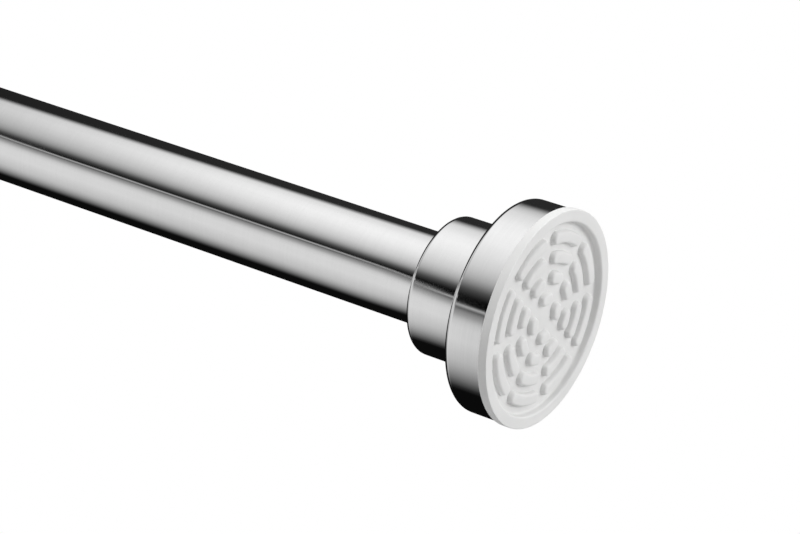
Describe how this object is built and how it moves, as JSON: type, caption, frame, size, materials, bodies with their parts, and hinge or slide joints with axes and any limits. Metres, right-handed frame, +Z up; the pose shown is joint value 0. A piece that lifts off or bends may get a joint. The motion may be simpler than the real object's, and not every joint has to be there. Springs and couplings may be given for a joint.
{
  "type": "shower curtain rod",
  "caption": "Telescoping tension shower curtain rod with stepped steel end caps, ridged rubber wall pads, a sprung end and a twist lock.",
  "frame": {"origin": "middle of the closed rod, on its axis, halfway between the two wall faces", "axes": "+X along the rod towards the near end with the spring, +Z up"},
  "size_m": [1.067, 0.0586, 0.0586],
  "materials": {
    "white_rubber": "matte",
    "cap_steel": "polished",
    "tube_steel": "polished",
    "core_plastic": "matte",
    "plated_steel": "satin",
    "spring_steel": "satin",
    "nylon": "satin",
    "sleeve_plastic": "satin",
    "lock_plastic": "satin",
    "ring_rubber": "matte",
    "nut_brass": "satin"
  },
  "bodies": {
    "near_end": {"near_pad": "white_rubber", "near_cap": "cap_steel", "near_core": "core_plastic", "near_bolt": "plated_steel", "near_washer": "plated_steel", "near_lock_nut": "plated_steel", "near_spring": "spring_steel"},
    "spring_seat": {"spring_seat": "plated_steel"},
    "outer_tube": {"outer_tube": "tube_steel", "near_cup": "nylon", "mouth_sleeve": "sleeve_plastic"},
    "twist_lock": {"lock_sleeve": "lock_plastic", "lock_ring": "ring_rubber", "wedge_nut": "nut_brass"},
    "far_end": {"far_pad": "white_rubber", "far_cap": "cap_steel", "far_core": "core_plastic", "far_bolt": "plated_steel", "far_washer": "plated_steel", "far_lock_nut": "plated_steel"},
    "inner_tube": {"inner_tube": "tube_steel", "far_plug": "nylon", "drive_plug": "nylon", "tension_screw": "plated_steel", "jam_nut": "plated_steel", "screw_clip": "plated_steel"}
  },
  "joints": [
    {"name": "end_spring", "type": "slide", "parent": "near_end", "child": "spring_seat", "axis": [1, 0, 0], "range_m": [0, 0.01], "stiffness_N_per_m": 8000, "springref_m": -0.003, "deforming": ["near_spring"]},
    {"name": "near_swivel", "type": "hinge", "parent": "spring_seat", "child": "outer_tube", "pos_m": [0.4915, 0, 0], "axis": [1, 0, 0], "continuous": true},
    {"name": "telescope", "type": "slide", "parent": "outer_tube", "child": "twist_lock", "axis": [-1, 0, 0], "range_m": [0, 0.762]},
    {"name": "tension_advance", "type": "slide", "parent": "twist_lock", "child": "far_end", "axis": [-1, 0, 0], "range_m": [0, 0.03]},
    {"name": "tube_twist", "type": "hinge", "parent": "far_end", "child": "inner_tube", "pos_m": [-0.5215, 0, 0], "axis": [-1, 0, 0], "range_deg": [0, 2160]}
  ],
  "couplings": [
    {"joint": "tube_twist", "follows": "tension_advance", "rad_per_m": 1256.6}
  ]
}
